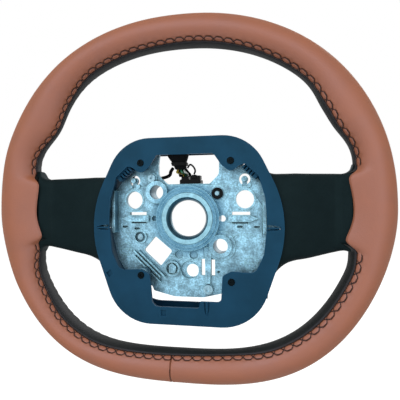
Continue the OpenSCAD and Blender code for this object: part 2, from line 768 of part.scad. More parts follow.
armature();
hub_bush();
foam_body();
outer_leather();
inner_leather_upper();
inner_leather_lower();
hub_shroud();
shroud_screws();
rubber_ring();
contact_pin();
earth_stud();
locating_pin();
earth_screw();
harness_sleeve();
harness_tie();
connector_housing();
connector_plug();
wire_yellow();
wire_green();
wire_white();
wire_loop();
harness_branch();
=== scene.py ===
# Car steering wheel: leather, moulded foam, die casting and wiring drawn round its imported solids.
import math

import bmesh
import bpy
import numpy as np
from mathutils import Matrix, Vector


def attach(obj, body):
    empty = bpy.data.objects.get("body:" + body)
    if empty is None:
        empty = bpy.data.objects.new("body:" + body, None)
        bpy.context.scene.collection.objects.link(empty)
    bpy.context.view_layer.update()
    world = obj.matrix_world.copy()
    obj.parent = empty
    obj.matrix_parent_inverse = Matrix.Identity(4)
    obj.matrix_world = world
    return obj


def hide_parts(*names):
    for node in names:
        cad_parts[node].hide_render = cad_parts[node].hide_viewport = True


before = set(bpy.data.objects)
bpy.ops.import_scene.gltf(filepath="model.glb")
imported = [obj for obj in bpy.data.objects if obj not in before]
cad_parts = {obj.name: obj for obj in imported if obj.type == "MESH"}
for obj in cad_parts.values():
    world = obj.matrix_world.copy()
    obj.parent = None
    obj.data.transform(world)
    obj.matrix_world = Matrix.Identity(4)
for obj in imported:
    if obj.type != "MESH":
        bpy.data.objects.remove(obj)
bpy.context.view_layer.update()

bl_info = {
    "name": "Car Steering Wheel",
    "version": (1, 0, 0),
    "blender": (4, 5, 0),
    "location": "3D View > Sidebar > Wheel",
    "description": "A leather-wrapped two-spoke steering wheel with its hub casting, shroud and wiring",
    "category": "Add Mesh",
}

MM = 0.001

# Glue line between the leather and the foam
GLUE = 0.1 * MM
# Angle in degrees from which a mesh's edge is shown sharp
SHARP_EDGE = 40

# Places round the rim are in degrees above (+) or below (-) the widest level, the same on both sides.
# A hump of the grip's width has its share of a size in the settings, its place and its reach.
SPOKE_SWELL_PLACE, SPOKE_SWELL_REACH = -3, 16
THUMB_REACH = 9
UPPER_LEFT_HUMPS = ((0.45, 25, 15), (0.7, 42, 9))
RIGHT_DIPS = ((1, 31.5, 5), (0.8, -18.5, 4.5))
# The lower left corner is a full angle, counted from the right
LOWER_LEFT_ANGLE, LOWER_LEFT_REACH = 225, 24

# Middle of a spoke's root, its corners from there, and how far the seam and the flap are drawn round it
ROOT_PLACE, ROOT_CORNER = -1.3, 10.5
ROOT_SEAM_REACH, ROOT_FLAP_REACH = 12.8, 11.9

# The cover was stretched and sewn by hand, so its front seam wanders: section angle at stations round the rim
SEAM_STATIONS = (0, 20, 33, 50, 84, 104, 120, 136, 146, 160, 194, 206, 226, 242, 262, 286, 304, 326, 346, 360)
SEAM_ANGLES = (26, 23, 31, 22, 29, 22, 18, 5, 3, 9, 12, 18, 30, 35, 34, 27, 38, 42, 43, 26)

# First and last angle of the rows of stitches and of the black strips, above and below the spokes
STITCH_RUNS = ((12, 168), (194, 346))
STRIP_RUNS = {"upper": (10.8, 169.2), "lower": (193, 347)}
# Degrees of section from a seam to its stitches, and to the middle of their band
STITCH_OFFSET, BAND_OFFSET = 1.5, 10
# How the threads shape the leather: depth and width of their groove, puff between them and pucker beside them
THREAD_SINK, THREAD_GROOVE = 0.38 * MM, 0.62 * MM
LEATHER_PUFF, LEATHER_PUCKER = 0.34 * MM, 0.16 * MM

# Flares of a spoke's edges: start, run and height. Those at the rim start from the root, those at the hub
# from the wheel's middle.
RIM_FLARE_TOP = (-10 * MM, 10 * MM, 8.5 * MM)
RIM_FLARE_BOTTOM = (-9.5 * MM, 9 * MM, 7 * MM)
HUB_FLARE_TOP = (84 * MM, -12 * MM, 8 * MM)
HUB_FLARE_BOTTOM = (104 * MM, -29 * MM, 36 * MM)

# Turned profile of the bush: radius, and depth behind the front of the casting's boss, in millimetres
BUSH_PROFILE = (
    (24.9, 18),
    (24.9, 0),
    (24.5, -0.4),
    (20.4, -0.4),
    (19.7, 0.3),
    (17.5, 5.2),
    (17.3, 6),
    (17.3, 8),
    (23.6, 14),
    (23.6, 18),
)

# Lamps of the studio: place in metres and power in watts
LAMPS = {"key": ((-0.7, -1.7, 1.1), 14), "fill": ((1.0, -1.6, 0.2), 8), "back": ((0.5, 1.7, 0.9), 10)}
LAMP_SIZE = 1.6
SENSOR_WIDTH = 36


def linear(code):
    """Linear RGBA of an sRGB hex colour."""
    srgb = [int(code[i : i + 2], 16) / 255 for i in (0, 2, 4)]
    return [c / 12.92 if c <= 0.04045 else ((c + 0.055) / 1.055) ** 2.4 for c in srgb] + [1.0]


def length(name, description, default):
    """A length property in metres."""
    return bpy.props.FloatProperty(
        name=name, description=description, default=default, unit="LENGTH", precision=5
    )


def angle(name, description, degrees):
    """An angle property, given in degrees."""
    return bpy.props.FloatProperty(
        name=name, description=description, default=math.radians(degrees), subtype="ANGLE"
    )


def number(name, description, default):
    """A plain number property."""
    return bpy.props.FloatProperty(name=name, description=description, default=default)


def colour(name, description, code):
    """A colour property, given as an sRGB hex code."""
    return bpy.props.FloatVectorProperty(
        name=name, description=description, default=linear(code), size=4, min=0, max=1, subtype="COLOR"
    )


class WheelRim(bpy.types.PropertyGroup):
    """Sizes of the rim. The swells and dips that follow the photographed cover are drawn here alone."""

    width: length("Width", "Overall width of the rim", 360 * MM)
    rise: length("Rise", "Height of the top above the widest level", 173.5 * MM)
    drop: length("Drop", "Drop of the flattened bottom below the widest level", 154.5 * MM)
    level: length("Level", "Height of the widest level above the hub axis", 10 * MM)
    ahead: length("Ahead", "Middle of the rim, ahead of the hub's rear face", 58 * MM)
    top_square: number("Top squareness", "Squareness of the top half", 2.17)
    side_square: number("Side squareness", "Squareness at the start of the bottom half", 1.99)
    bottom_square: number("Bottom squareness", "Squareness gained towards the bottom corners", 0.62)
    grip_width: length("Grip width", "Width of the grip, seen from the front", 28.5 * MM)
    grip_depth: length("Grip depth", "Depth of the grip, front to back", 34 * MM)
    thumb_swell: length("Thumb swell", "Extra grip width at the thumb rests", 8.5 * MM)
    thumb_angle: angle("Thumb angle", "Angle of the thumb rests above the widest level", 31)
    spoke_swell: length("Spoke swell", "Extra grip width where the spokes start", 9 * MM)
    spoke_swell_left: length("Spoke swell left", "Extra swell at the left, taken off at the right", 3.3 * MM)
    corner_waist: length("Corner waist", "How much narrower the grip is at the lower left corner", 4.8 * MM)
    left_swell: length("Left swell", "Extra grip width at the upper left", 5 * MM)
    right_dip: length("Right dip", "Grip width taken off above and below the right spoke", 2.1 * MM)
    flap: length("Flap", "How far the cover runs over the middle of a spoke's root", 2.3 * MM)
    flap_bow: length("Flap bow", "How much further it runs at the root's corners", 4.4 * MM)


class WheelLeather(bpy.types.PropertyGroup):
    """Sizes and colours of the leather and its sewing."""

    thickness: length("Thickness", "Thickness of the leather", 1.2 * MM)
    seam_angle: angle("Seam angle", "Angle of the long seams from the inward side of the grip", 32)
    seam_spread: angle("Seam spread", "Extra angle of the seams where the grip swells into a spoke", 10)
    rear_turn: angle("Rear turn", "How much further round the rear seam lies", 12)
    stitch_pitch: length("Stitch pitch", "Length of one cross stitch", 8.8 * MM)
    stitch_width: length("Stitch width", "Width of the band of cross stitches", 4.6 * MM)
    thread_radius: length("Thread radius", "Radius of the sewing thread", 0.36 * MM)
    closing_radius: length("Closing thread", "Radius of the closing seam's thread", 0.28 * MM)
    closing_x: length("Closing seam", "Place of the closing seam, from the middle of the wheel", -7.6 * MM)
    brown: colour("Brown leather", "Colour of the outer leather", "a36342")
    black: colour("Black leather", "Colour of the inner leather", "232625")
    thread: colour("Thread", "Colour of the sewing thread", "38231f")


class WheelSpokes(bpy.types.PropertyGroup):
    """Sizes and colour of the moulded spokes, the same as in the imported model."""

    top: length("Top", "Height of a spoke's top edge at the rim", 37.5 * MM)
    bottom: length("Bottom", "Height of a spoke's bottom edge at the rim", -25 * MM)
    rise: length("Rise", "Rise of the top edge from the rim to the hub", 3.5 * MM)
    fall: length("Fall", "Drop of the bottom edge from the rim to the hub", 13 * MM)
    depth: length("Depth", "Thickness of a spoke, front to back", 25 * MM)
    skin: colour("Skin", "Colour of the moulded skin", "121c1e")


class WheelHub(bpy.types.PropertyGroup):
    """Sizes and colours of the shroud, the casting and its fittings."""

    flange_ahead: length("Flange", "Front face of the shroud, ahead of the hub's rear face", 47 * MM)
    flange_thickness: length("Flange thickness", "Thickness of the shroud's flange", 3 * MM)
    flange_half: length("Flange half width", "Half width of the flange at the hub axis", 90.5 * MM)
    flange_top: length("Flange top", "Top edge of the flange above the hub axis", 76.5 * MM)
    flange_drop: length("Flange drop", "Bottom edge of the flange below the hub axis", 99 * MM)
    lip: length("Lip", "Width of the flange outside the skirt", 4 * MM)
    gap: length("Gap", "Clearance round the skirt", 0.4 * MM)
    boss_ahead: length("Boss", "Front face of the casting's boss, ahead of the rear face", 38 * MM)
    moulded_edge: length("Moulded edge", "Rounding of the shroud's edges", 0.7 * MM)
    cast_edge: length("Cast edge", "Rounding of the casting's edges", 0.35 * MM)
    small_edge: length("Small edge", "Rounding of the screws' and pins' edges", 0.15 * MM)
    shroud: colour("Shroud", "Colour of the moulded shroud", "183e59")
    casting: colour("Casting", "Colour of the cast alloy", "95c7de")
    # Painted shade: a darker colour laid on the casting round the boss
    boss_shade: colour("Grease", "Colour of the greased metal round the boss", "3f7999")
    bush: colour("Bush", "Colour of the turned bush", "8fc0d2")
    steel: colour("Steel", "Colour of the plated steel", "8fb4c4")
    rubber: colour("Rubber", "Colour of the rubber ring", "06090b")


class WheelWiring(bpy.types.PropertyGroup):
    """Size and colours of the wiring."""

    moulded_edge: length("Moulded edge", "Rounding of the connector's and the ring's edges", 0.3 * MM)
    tape: colour("Tape", "Colour of the loom tape", "0b0d0f")
    housing: colour("Housing", "Colour of the connector", "0d0f10")
    yellow: colour("Yellow wire", "Colour of the yellow wire", "b9a441")
    green: colour("Green wire", "Colour of the green wire", "2f7a5a")
    white: colour("White wire", "Colour of the white wire", "c8d2cc")


class WheelStage(bpy.types.PropertyGroup):
    """The plain studio round the wheel."""

    camera_distance: length("Camera distance", "Camera ahead of the hub's rear face", 400 * MM)
    camera_x: length("Camera X", "Camera to the right of the hub axis", 83.65 * MM)
    camera_z: length("Camera height", "Camera above the hub axis", 14.04 * MM)
    yaw: angle("Yaw", "Turn of the camera to the left", 11.07)
    pitch: angle("Pitch", "Tilt of the camera upward", 0.53)
    roll: angle("Roll", "Roll of the camera", -0.4)
    lens: bpy.props.FloatProperty(
        name="Lens", description="Focal length of the camera", default=35.13, unit="CAMERA"
    )
    floor_drop: length("Floor drop", "Floor below the hub axis", 400 * MM)
    paper: colour("Paper", "Colour of the floor", "f2f2f2")


# Shape of the rim


def fold(a):
    """Angle above or below the widest level, on either side."""
    return np.degrees(np.arcsin(np.sin(np.radians(a))))


def ease(u):
    """Smooth step from 0 to 1."""
    c = np.clip(u, 0, 1)
    return c * c * (3 - 2 * c)


def fillet(u):
    """Quarter-round rise that starts flat and ends steep."""
    c = np.clip(u, 0, 1)
    return 1 - np.sqrt(1 - c * c)


def bump(x, width):
    """Smooth hump of height 1 round x = 0."""
    return np.exp(-((x / width) ** 2))


def humps(x, shape):
    """Sum of smooth humps, each given by its share, its place and its reach."""
    return sum(share * bump(x - place, reach) for share, place, reach in shape)


def rim_edge(rim, a):
    """Outer edge of the rim at angle a in degrees, as X and Z."""
    s, c = np.sin(np.radians(a)), np.cos(np.radians(a))
    up = s >= 0
    n = np.where(up, rim.top_square, rim.side_square + rim.bottom_square * s * s)
    tall = np.where(up, rim.rise, rim.drop)
    r = (np.abs(c * 2 / rim.width) ** n + np.abs(s / tall) ** n) ** (-1 / n)
    return np.stack([r * c, rim.level + r * s], axis=-1)


def rim_inward(rim, a):
    """Direction from the outer edge towards the inside of the rim."""
    d = rim_edge(rim, a + 0.5) - rim_edge(rim, a - 0.5)
    d = d / np.linalg.norm(d, axis=-1, keepdims=True)
    return np.stack([-d[..., 1], d[..., 0]], axis=-1)


def spoke_zone(a):
    """Share of the spoke swell at angle a, from 0 on the free rim to 1 beside a spoke."""
    return np.exp(-(((fold(a) - SPOKE_SWELL_PLACE) / SPOKE_SWELL_REACH) ** 4))


def grip_half(rim, a):
    """Half the grip's width at angle a."""
    right = np.cos(np.radians(a))
    thumb = rim.thumb_swell * bump(fold(a) - math.degrees(rim.thumb_angle), THUMB_REACH)
    spoke = (rim.spoke_swell - rim.spoke_swell_left * right) * spoke_zone(a)
    waist = rim.corner_waist * bump(np.mod(a, 360) - LOWER_LEFT_ANGLE, LOWER_LEFT_REACH)
    swell = rim.left_swell * humps(fold(a), UPPER_LEFT_HUMPS)
    dip = rim.right_dip * humps(fold(a), RIGHT_DIPS)
    return (rim.grip_width + thumb + (spoke - waist) + np.where(right < 0, swell, -dip)) / 2


def root_share(a, reach):
    """Share of a spoke's root at angle a: 1 over its middle, 0 past its reach in degrees."""
    return np.exp(-(((fold(a) - ROOT_PLACE) / reach) ** 16))


def rear_seam(leather, a):
    """Section angle in degrees of the rear seam at angle a."""
    return np.degrees(leather.seam_angle + leather.rear_turn + leather.seam_spread * spoke_zone(a))


def free_seam(a):
    """Section angle in degrees at which the front seam would lie without the spokes."""
    turn = np.asarray(a, float) % 360
    i = np.clip(np.searchsorted(SEAM_STATIONS, turn, side="right") - 1, 0, len(SEAM_STATIONS) - 2)
    start, end = np.take(SEAM_STATIONS, i), np.take(SEAM_STATIONS, i + 1)
    low, high = np.take(SEAM_ANGLES, i), np.take(SEAM_ANGLES, i + 1)
    return low + (high - low) * ease((turn - start) / (end - start))


def front_seam(leather, a):
    """Section angle in degrees of the front seam, raised over the spokes' roots."""
    root = math.degrees(leather.seam_angle + leather.seam_spread)
    return free_seam(a) + (root - free_seam(a)) * root_share(a, ROOT_SEAM_REACH)


def flap_reach(rim, leather, a):
    """How far the cover's inward side is stretched at angle a, to bring its front edge over a spoke's root."""
    corner = np.clip((fold(a) - ROOT_PLACE) / ROOT_CORNER, -1.1, 1.1)
    free = np.cos(np.radians(free_seam(a)))
    seam = np.cos(np.radians(front_seam(leather, a)))
    over = rim.flap + (1 - free) * grip_half(rim, a) + rim.flap_bow * corner**2
    over = over * root_share(a, ROOT_FLAP_REACH)
    return (over + grip_half(rim, a) * (free - seam)) / seam**2


def grip_point(rim, a, t, lift=0.0, reach=0.0):
    """Points of the grip at angle a and section angle t, lifted off it and stretched inward."""
    a, t, lift = np.broadcast_arrays(np.asarray(a, float), np.asarray(t, float), np.asarray(lift, float))
    half, deep = grip_half(rim, a), rim.grip_depth / 2
    inward, edge = rim_inward(rim, a), rim_edge(rim, a)
    ct, st = np.cos(np.radians(t)), np.sin(np.radians(t))
    flat, front = ct / half, st / deep
    size = np.sqrt(flat**2 + front**2)
    flat, front = flat / size, front / size
    across = half + half * ct + lift * flat + reach * np.maximum(ct, 0) ** 2
    x, z = (edge[..., i] + inward[..., i] * across for i in (0, 1))
    return np.stack([x, -rim.ahead - deep * st - lift * front, z], axis=-1)


class Seam:
    """A run of cross stitches along one of the long seams, from angle start to angle end."""

    def __init__(self, rim, leather, start, end, front):
        self.rim, self.leather, self.start, self.end = rim, leather, start, end
        self.side = 1 if front else -1
        self.half_width = leather.stitch_width / 2
        self.a = np.linspace(start, end, 800)
        p = grip_point(rim, self.a, self.side * self.middle(self.a), 0, flap_reach(rim, leather, self.a))
        run = np.concatenate([[0], np.cumsum(np.linalg.norm(np.diff(p, axis=0), axis=1))])
        self.cells = round(run[-1] / leather.stitch_pitch)
        self.p = run / run[-1] * self.cells

    def seam(self, a):
        """Section angle of the seam that the stitches run beside."""
        return (front_seam if self.side > 0 else rear_seam)(self.leather, a)

    def spread(self, a):
        """Half the stitch band's width, as a section angle."""
        half, deep = grip_half(self.rim, a), self.rim.grip_depth / 2
        t = np.radians(self.seam(a) + BAND_OFFSET)
        return np.degrees(self.half_width / np.sqrt((half * np.sin(t)) ** 2 + (deep * np.cos(t)) ** 2))

    def middle(self, a):
        """Section angle of the middle of the stitch band."""
        return self.seam(a) + STITCH_OFFSET + self.spread(a)

    def phase(self, a):
        """Stitches counted from the start."""
        return np.interp(a, self.a, self.p)

    def wave(self, p):
        """Side-to-side place of a thread, from -1 to 1, crossing the middle once a stitch."""
        return np.clip(1.3 * np.sin(math.pi * p), -1, 1)

    def lift(self, a, t):
        """How the leather rises between the threads and sinks under them."""
        inside = (a >= self.start) & (a <= self.end)
        t = t if self.side > 0 else 360 - t
        u = (t - self.middle(a)) / self.spread(a)
        p = self.phase(a)
        w = np.abs(self.wave(p))
        sink = -THREAD_SINK * bump(np.abs(np.abs(u) - w) * self.half_width, THREAD_GROOVE)
        puff = LEATHER_PUFF * np.clip(1 - (u / np.maximum(w, 0.2)) ** 2, 0, 1) * w
        pucker = -LEATHER_PUCKER * np.cos(2 * math.pi * p) * bump(u - 1.5, 0.7)
        return np.where(inside & (u > -1.6) & (u < 4), sink + puff + pucker, 0)


def seams(rim, leather):
    """The four runs of cross stitches, from spoke to spoke."""
    return [Seam(rim, leather, start, end, front) for front in (True, False) for start, end in STITCH_RUNS]


def closing_angle(rim, leather):
    """Angle at which the closing seam crosses the bottom of the rim."""
    a = np.linspace(250, 290, 4001)
    return float(a[np.argmin(np.abs(rim_edge(rim, a)[:, 0] - leather.closing_x))])


def turned_in(distance, depth, reach):
    """Height near an edge that is turned in: sunk to a depth at the edge, and level at its reach."""
    return -depth * (1 - ease(distance / reach))


# Meshes


def new_piece(name, verts, faces, material, slot_name, replaced=()):
    """A mesh piece of the wheel, smooth apart from its sharp edges."""
    mesh = bpy.data.meshes.new(name)
    mesh.from_pydata([tuple(v) for v in np.asarray(verts, float)], [], [tuple(map(int, f)) for f in faces])
    mesh.validate()
    piece = bpy.data.objects.new(name, mesh)
    bpy.context.scene.collection.objects.link(piece)
    soften(mesh)
    mesh.materials.append(material)
    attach(piece, "root")
    if replaced:
        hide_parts(*replaced)
    return piece


def ring_piece(name, rings, closed, material, slot_name, replaced):
    """A mesh piece over rings of points; closed rings meet, open ones are capped."""
    n, m = rings.shape[:2]
    return new_piece(name, rings.reshape(-1, 3), ring_faces(n, m, closed), material, slot_name, replaced)


def soften(mesh):
    """Shades a mesh smooth apart from its sharp edges, with its faces turned outward."""
    work = bmesh.new()
    work.from_mesh(mesh)
    bmesh.ops.recalc_face_normals(work, faces=work.faces)
    limit = math.radians(SHARP_EDGE)
    for face in work.faces:
        face.smooth = True
    for edge in work.edges:
        edge.smooth = len(edge.link_faces) == 2 and edge.calc_face_angle(0) < limit
    work.to_mesh(mesh)
    work.free()


def ring_faces(n, m, closed, capped=True):
    """Faces over n rings of m points; closed rings meet, open ones are capped."""
    i = np.arange(n if closed else n - 1)[:, None]
    j = np.arange(m)[None, :]
    q, k = (i + 1) % n, (j + 1) % m
    faces = np.stack([i * m + j, i * m + k, q * m + k, q * m + j], axis=-1).reshape(-1, 4).tolist()
    if capped and not closed:
        faces += [list(range(m - 1, -1, -1)), list(range((n - 1) * m, n * m))]
    return faces


def strip_faces(n, m):
    """Faces of a strip with a skin and a lining of equal counts, its ends closed across."""
    faces = ring_faces(n, m, False, False)
    for row, flip in ((0, 1), ((n - 1) * m, -1)):
        for j in range(m // 2 - 1):
            faces.append([row + j, row + j + 1, row + m - 2 - j, row + m - 1 - j][::flip])
    return faces


def join_parts(parts):
    """Vertices and faces of several parts as one."""
    verts, faces, start = [], [], 0
    for part_verts, part_faces in parts:
        verts.append(np.asarray(part_verts, float))
        faces += [[start + v for v in face] for face in part_faces]
        start += len(part_verts)
    return np.concatenate(verts), faces


def tube(path, radius, sides=6):
    """A round tube along a path, with closed ends."""
    path = np.asarray(path, float)
    d = np.gradient(path, axis=0)
    d /= np.linalg.norm(d, axis=1, keepdims=True)
    u = np.cross(d, [0.31, 0.93, 0.2])
    u /= np.linalg.norm(u, axis=1, keepdims=True)
    v = np.cross(d, u)
    turn = np.arange(sides) * 2 * math.pi / sides
    ring = u[:, None] * np.cos(turn)[None, :, None] + v[:, None] * np.sin(turn)[None, :, None]
    return (path[:, None] + radius * ring).reshape(-1, 3), ring_faces(len(path), sides, False)


def trim(context, piece, cutter):
    """Cuts a piece by another, and keeps the result as its mesh."""
    material = piece.data.materials[0]
    cut = piece.modifiers.new("cut", "BOOLEAN")
    cut.operation, cut.object, cut.solver = "DIFFERENCE", cutter, "EXACT"
    context.view_layer.update()
    mesh = bpy.data.meshes.new_from_object(piece.evaluated_get(context.evaluated_depsgraph_get()))
    piece.modifiers.clear()
    piece.data = mesh
    soften(mesh)
    mesh.materials.clear()
    mesh.materials.append(material)


# Materials


def add_node(tree, kind, settings=None, feeds=None):
    """Adds a node: settings give each socket or attribute a value or a source, feeds links its outputs."""
    made = tree.nodes.new(kind)
    for name, value in (settings or {}).items():
        if isinstance(value, bpy.types.NodeSocket):
            tree.links.new(value, made.inputs[name])
        elif isinstance(name, int) or name in made.inputs:
            made.inputs[name].default_value = value
        else:
            setattr(made, name, value)
    for name, socket in (feeds or {}).items():
        tree.links.new(made.outputs[name], socket)
    return made


def new_material(name, settings):
    """A material with its node tree and its shader, set with the values that are the same all over."""
    material = bpy.data.materials.new(name)
    material.use_nodes = True
    shader = material.node_tree.nodes["Principled BSDF"]
    for socket, value in settings.items():
        shader.inputs[socket].default_value = value
    return material, material.node_tree, shader


def per_metre(size):
    """Texture scale that gives a pattern of this size in metres."""
    return 1 / size


def shaded(base, factor):
    """A colour made lighter or darker."""
    return [min(1, c * factor) for c in base[:3]] + [1.0]


def mottle(tree, shader, base, size, dark, light, detail=3.0):
    """Varies the base colour in soft patches of a given size."""
    place = add_node(tree, "ShaderNodeTexCoord")
    noise = add_node(
        tree,
        "ShaderNodeTexNoise",
        {"Scale": per_metre(size), "Detail": detail, "Vector": place.outputs["Object"]},
    )
    ramp = add_node(
        tree, "ShaderNodeValToRGB", {"Fac": noise.outputs["Fac"]}, {"Color": shader.inputs["Base Color"]}
    )
    low, high = ramp.color_ramp.elements
    low.position, high.position = 0.35, 0.65
    low.color, high.color = shaded(base, dark), shaded(base, light)
    return place, noise.outputs["Fac"], ramp.outputs["Color"]


def leather_material(name, base, rough, level):
    """Chrome-tanned nappa: a pebble of 1.3 mm with pores, under a satin coat that gives a soft gloss, with
    painted shade in its grooves and beside its threads.
    """
    material, tree, shader = new_material(
        name, {"Roughness": rough, "IOR": 1.5, "Specular Tint": (0.9, 0.82, 1, 1)}
    )
    place, patches, tan = mottle(tree, shader, base, 22 * MM, 0.95, 1.05)
    # Painted shade: the colour is darkened where ambient occlusion finds grooves and threads within 4 mm
    groove = add_node(tree, "ShaderNodeAmbientOcclusion", {"samples": 6, "Distance": 4 * MM})
    painted_groove_shade = add_node(
        tree,
        "ShaderNodeMapRange",
        {"Value": groove.outputs["AO"], "From Min": 0.4, "From Max": 0.95, "To Min": 0.4, "To Max": 1.0},
    )
    add_node(
        tree,
        "ShaderNodeMixRGB",
        {"blend_type": "MULTIPLY", "Fac": 1.0, "Color1": tan, "Color2": painted_groove_shade.outputs["Result"]},
        {"Color": shader.inputs["Base Color"]},
    )
    coat = add_node(tree, "ShaderNodeLayerWeight", {"Blend": 0.5})
    add_node(
        tree,
        "ShaderNodeMapRange",
        {
            "Value": coat.outputs["Facing"],
            "From Min": 0.05,
            "From Max": 0.7,
            "To Min": level,
            "To Max": level * 0.15,
        },
        {"Result": shader.inputs["Specular IOR Level"]},
    )
    pebble = add_node(
        tree,
        "ShaderNodeTexVoronoi",
        {
            "feature": "SMOOTH_F1",
            "Scale": per_metre(1.3 * MM),
            "Smoothness": 0.35,
            "Vector": place.outputs["Object"],
        },
    )
    pores = add_node(
        tree,
        "ShaderNodeTexNoise",
        {"Scale": per_metre(0.5 * MM), "Detail": 2.0, "Vector": place.outputs["Object"]},
    )
    height = add_node(
        tree,
        "ShaderNodeMath",
        {"operation": "MULTIPLY_ADD", 0: pores.outputs["Fac"], 1: 0.35, 2: pebble.outputs["Distance"]},
    )
    add_node(
        tree,
        "ShaderNodeBump",
        {"Strength": 0.55, "Distance": 0.09 * MM, "Height": height.outputs["Value"]},
        {"Normal": shader.inputs["Normal"]},
    )
    add_node(
        tree,
        "ShaderNodeMapRange",
        {
            "Value": patches,
            "From Min": 0.3,
            "From Max": 0.7,
            "To Min": rough - 0.05,
            "To Max": rough + 0.05,
        },
        {"Result": shader.inputs["Roughness"]},
    )
    return material


def thread_material(base):
    """Bonded polyester sewing thread: plies twisted 0.7 mm apart, with a dull sheen."""
    material, tree, shader = new_material(
        "polyester_thread", {"Roughness": 0.55, "IOR": 1.5, "Specular IOR Level": 0.3}
    )
    place, _, _ = mottle(tree, shader, base, 3 * MM, 0.8, 1.15)
    # A wave texture repeats at 0.314 of the size it is given: here at 0.7 mm
    plies = add_node(
        tree,
        "ShaderNodeTexWave",
        {
            "wave_type": "BANDS",
            "bands_direction": "DIAGONAL",
            "Scale": per_metre(2.2 * MM),
            "Distortion": 1.0,
            "Vector": place.outputs["Object"],
        },
    )
    add_node(
        tree,
        "ShaderNodeBump",
        {"Strength": 1.0, "Distance": 0.12 * MM, "Height": plies.outputs["Fac"]},
        {"Normal": shader.inputs["Normal"]},
    )
    return material


def foam_material(base):
    """Integral-skin polyurethane foam: a leather-like grain of 1.5 mm etched in the mould, matt and dark."""
    material, tree, shader = new_material(
        "integral_skin_foam",
        {"Roughness": 0.62, "Specular IOR Level": 0.15, "Specular Tint": (0.45, 0.85, 0.95, 1)},
    )
    place, _, _ = mottle(tree, shader, base, 14 * MM, 0.88, 1.12)
    grain = add_node(
        tree,
        "ShaderNodeTexVoronoi",
        {
            "feature": "SMOOTH_F1",
            "Scale": per_metre(1.5 * MM),
            "Smoothness": 0.3,
            "Vector": place.outputs["Object"],
        },
    )
    add_node(
        tree,
        "ShaderNodeBump",
        {"Strength": 0.7, "Distance": 0.12 * MM, "Height": grain.outputs["Distance"]},
        {"Normal": shader.inputs["Normal"]},
    )
    return material


def edge_mask(tree, radius):
    """Mask that is 1 near edges, from the difference that a rounding of this radius would make."""
    rounded = add_node(tree, "ShaderNodeBevel", {"samples": 6, "Radius": radius})
    true = add_node(tree, "ShaderNodeNewGeometry")
    dot = add_node(
        tree,
        "ShaderNodeVectorMath",
        {"operation": "DOT_PRODUCT", 0: rounded.outputs["Normal"], 1: true.outputs["Normal"]},
    )
    mask = add_node(
        tree,
        "ShaderNodeMapRange",
        {"Value": dot.outputs["Value"], "From Min": 0.99, "From Max": 0.8, "To Min": 0.0, "To Max": 1.0},
    )
    return mask.outputs["Result"]


def steep_mask(tree, place, most):
    """Mask that is at its most on walls that run front to back and 0 on faces that look ahead."""
    part = add_node(tree, "ShaderNodeSeparateXYZ", {"Vector": place.outputs["Normal"]})
    ahead = add_node(tree, "ShaderNodeMath", {"operation": "ABSOLUTE", 0: part.outputs["Y"]})
    mask = add_node(
        tree,
        "ShaderNodeMapRange",
        {
            "Value": ahead.outputs["Value"],
            "From Min": 0.35,
            "From Max": 0.85,
            "To Min": most,
            "To Max": 0.0,
        },
    )
    return mask.outputs["Result"]


def shroud_material(base):
    """Injection-moulded ABS with a spark-eroded texture that dulls it; its edges are rubbed paler."""
    material, tree, shader = new_material(
        "moulded_abs", {"Roughness": 0.5, "Specular IOR Level": 0.3, "Specular Tint": (0.3, 0.8, 1, 1)}
    )
    place, _, moulded = mottle(tree, shader, base, 26 * MM, 0.85, 1.15)
    scuffs = add_node(
        tree,
        "ShaderNodeTexNoise",
        {"Scale": per_metre(4 * MM), "Detail": 4.0, "Vector": place.outputs["Object"]},
    )
    rubbed = add_node(
        tree,
        "ShaderNodeMath",
        {"operation": "MULTIPLY", 0: edge_mask(tree, 0.8 * MM), 1: scuffs.outputs["Fac"]},
    )
    add_node(
        tree,
        "ShaderNodeMixRGB",
        {"Fac": rubbed.outputs["Value"], "Color1": moulded, "Color2": shaded(base, 3.2)},
        {"Color": shader.inputs["Base Color"]},
    )
    # The spark texture is drawn 0.9 mm coarse, because the real one of about 0.2 mm would not show
    spark = add_node(
        tree,
        "ShaderNodeTexNoise",
        {"Scale": per_metre(0.9 * MM), "Detail": 2.0, "Vector": place.outputs["Object"]},
    )
    add_node(
        tree,
        "ShaderNodeBump",
        {"Strength": 0.6, "Distance": 0.12 * MM, "Height": spark.outputs["Fac"]},
        {"Normal": shader.inputs["Normal"]},
    )
    return material


